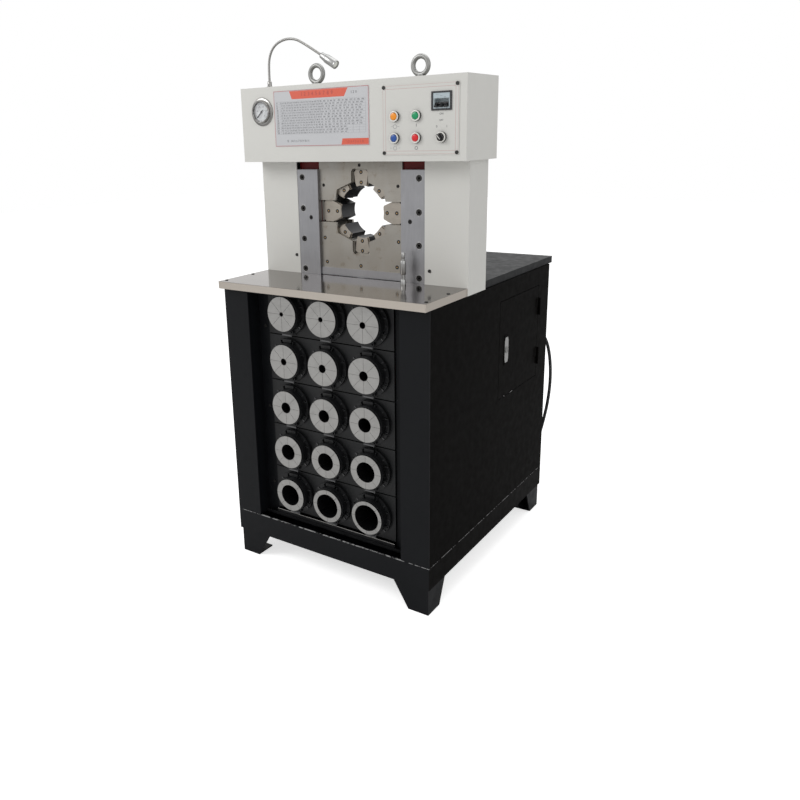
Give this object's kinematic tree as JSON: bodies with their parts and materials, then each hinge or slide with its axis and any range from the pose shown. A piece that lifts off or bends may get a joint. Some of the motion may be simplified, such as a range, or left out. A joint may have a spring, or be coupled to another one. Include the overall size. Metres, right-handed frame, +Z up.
{
  "type": "hose crimping machine",
  "caption": "Free-standing hose crimping press: upright frame with a ring of closing dies, cream head with controls, steel table and black cabinet with a rack of stored die sets.",
  "frame": {"origin": "on the floor under the middle of the machine's bounding box, mains cable left out", "axes": "+Z up, -Y towards the operator, +X to the operator's right"},
  "size_m": [0.787, 1.175, 1.6776],
  "materials": {
    "black_powder_coat": "satin",
    "cream_paint": "satin",
    "stainless": "brushed",
    "ground_steel": "ground",
    "block_steel": "ground",
    "die_steel": "black oxide sides",
    "die_set_steel": "turned faces",
    "maroon_paint": "gloss",
    "panel_plate": "satin",
    "chart_sheet": "matt",
    "chrome": "polished",
    "black_plastic": "gloss",
    "white_plastic": "gloss",
    "button_orange": "gloss",
    "button_green": "gloss",
    "button_blue": "gloss",
    "button_red": "gloss",
    "breaker_plastic": "matt",
    "satin_metal": "satin",
    "zinc": "zinc plated",
    "cast_grey": "cast",
    "motor_paint": "satin",
    "rubber": "matt",
    "panel_grey": "satin",
    "screw_steel": "black oxide",
    "plug_plastic": "moulded"
  },
  "bodies": {
    "root": {"base_frame": "black_powder_coat", "side_panel_left": "black_powder_coat", "side_panel_right": "black_powder_coat", "rear_panel": "black_powder_coat", "front_frame": "black_powder_coat", "rear_top_cover": "black_powder_coat", "rack_panels": "black_powder_coat", "die_holders": "black_powder_coat", "oil_tank": "black_powder_coat", "door_hinges": "black_powder_coat", "column_covers": "cream_paint", "head_cover": "cream_paint", "table_top": "stainless", "guide_plates": "ground_steel", "cylinder_barrel": "ground_steel", "upper_die_block": "block_steel", "die_top": "die_steel", "die_sets_row_1": "die_set_steel", "die_sets_row_2": "die_set_steel", "die_sets_row_3": "die_set_steel", "die_sets_row_4": "die_set_steel", "die_sets_row_5": "die_set_steel", "press_frame": "maroon_paint", "control_plate": "panel_plate", "chart_plate": "chart_sheet", "gauge_case": "chrome", "button_bezels": "white_plastic", "breaker_body": "breaker_plastic", "lifting_eyes": "zinc", "micrometer_body": "satin_metal", "pump_and_valves": "cast_grey", "motor": "motor_paint", "hydraulic_hoses": "rubber", "electrical_panel": "panel_grey", "socket_screws": "screw_steel", "cable_gland": "black_plastic", "power_cable": "rubber", "cable_coil": "rubber", "cable_plug": "plug_plastic"},
    "ram": {"ram": "ground_steel", "lower_die_block": "block_steel", "die_bottom": "die_steel"},
    "die_left": {"die_left": "die_steel"},
    "die_right": {"die_right": "die_steel"},
    "die_upper_left": {"die_upper_left": "die_steel"},
    "die_upper_right": {"die_upper_right": "die_steel"},
    "die_lower_left": {"die_lower_left": "die_steel"},
    "die_lower_right": {"die_lower_right": "die_steel"},
    "button_orange": {"button_orange": "button_orange"},
    "button_green": {"button_green": "button_green"},
    "button_blue": {"button_blue": "button_blue"},
    "button_red": {"button_red": "button_red"},
    "selector": {"selector_knob": "black_plastic"},
    "breaker_toggles": {"breaker_toggles": "black_plastic"},
    "needle": {"gauge_needle": "black_plastic"},
    "door": {"access_door": "black_powder_coat"},
    "lock_cam": {"lock_cam": "ground_steel"},
    "lamp_neck": {"lamp_neck": "chrome"},
    "lamp_head": {"lamp_head": "satin_metal"},
    "thimble": {"micrometer_thimble": "satin_metal"}
  },
  "joints": [
    {"name": "ram_lift", "type": "slide", "parent": "root", "child": "ram", "axis": [0, 0, 1], "range_m": [0, 0.052]},
    {"name": "die_right_slide", "type": "slide", "parent": "root", "child": "die_right", "axis": [-0.7071, 0, 0.7071], "range_m": [0, 0.03687]},
    {"name": "die_left_slide", "type": "slide", "parent": "root", "child": "die_left", "axis": [0.7071, 0, 0.7071], "range_m": [0, 0.03687]},
    {"name": "die_upper_right_slide", "type": "slide", "parent": "root", "child": "die_upper_right", "axis": [-0.9239, 0, 0.3827], "range_m": [0, 0.02]},
    {"name": "die_upper_left_slide", "type": "slide", "parent": "root", "child": "die_upper_left", "axis": [0.9239, 0, 0.3827], "range_m": [0, 0.02]},
    {"name": "die_lower_right_slide", "type": "slide", "parent": "ram", "child": "die_lower_right", "axis": [-0.9239, 0, -0.3827], "range_m": [0, 0.02]},
    {"name": "die_lower_left_slide", "type": "slide", "parent": "ram", "child": "die_lower_left", "axis": [0.9239, 0, -0.3827], "range_m": [0, 0.02]},
    {"name": "button_orange_press", "type": "slide", "parent": "root", "child": "button_orange", "axis": [0, 1, 0], "range_m": [0, 0.004], "stiffness_N_per_m": 700},
    {"name": "button_green_press", "type": "slide", "parent": "root", "child": "button_green", "axis": [0, 1, 0], "range_m": [0, 0.004], "stiffness_N_per_m": 700},
    {"name": "button_blue_press", "type": "slide", "parent": "root", "child": "button_blue", "axis": [0, 1, 0], "range_m": [0, 0.004], "stiffness_N_per_m": 700},
    {"name": "button_red_press", "type": "slide", "parent": "root", "child": "button_red", "axis": [0, 1, 0], "range_m": [0, 0.004], "stiffness_N_per_m": 700},
    {"name": "selector_turn", "type": "hinge", "parent": "root", "child": "selector", "pos_m": [0.32, -0.284, 1.378], "axis": [0, 1, 0], "range_deg": [0, 80]},
    {"name": "breaker_switch", "type": "hinge", "parent": "root", "child": "breaker_toggles", "pos_m": [0.3195, -0.279, 1.4645], "axis": [-1, 0, 0], "range_deg": [0, 60]},
    {"name": "needle_turn", "type": "hinge", "parent": "root", "child": "needle", "pos_m": [-0.308, -0.287, 1.466], "axis": [0, 1, 0], "range_deg": [0, 270], "stiffness_Nm_per_rad": 0.0002},
    {"name": "door_swing", "type": "hinge", "parent": "root", "child": "door", "pos_m": [0.3762, 0.342, 0.7], "axis": [0, 0, 1], "range_deg": [0, 110]},
    {"name": "lock_turn", "type": "hinge", "parent": "door", "child": "lock_cam", "pos_m": [0.372, 0.071, 0.706], "axis": [1, 0, 0], "range_deg": [-90, 0]},
    {"name": "lamp_swivel", "type": "hinge", "parent": "root", "child": "lamp_neck", "pos_m": [-0.306, -0.244, 1.55], "axis": [0, 0, 1], "range_deg": [-90, 90]},
    {"name": "lamp_tilt", "type": "hinge", "parent": "lamp_neck", "child": "lamp_head", "pos_m": [-0.10171, -0.244, 1.61844], "axis": [0, 1, 0], "range_deg": [-15, 15]},
    {"name": "thimble_turn", "type": "hinge", "parent": "root", "child": "thimble", "pos_m": [0.178, -0.252, 0.96], "axis": [0, 0, 1], "continuous": true}
  ],
  "couplings": [
    {"joint": "die_right_slide", "follows": "ram_lift", "ratio": 0.70711},
    {"joint": "die_left_slide", "follows": "ram_lift", "ratio": 0.70711},
    {"joint": "die_upper_right_slide", "follows": "ram_lift", "ratio": 0.38268},
    {"joint": "die_upper_left_slide", "follows": "ram_lift", "ratio": 0.38268},
    {"joint": "die_lower_right_slide", "follows": "ram_lift", "ratio": 0.38268},
    {"joint": "die_lower_left_slide", "follows": "ram_lift", "ratio": 0.38268}
  ]
}
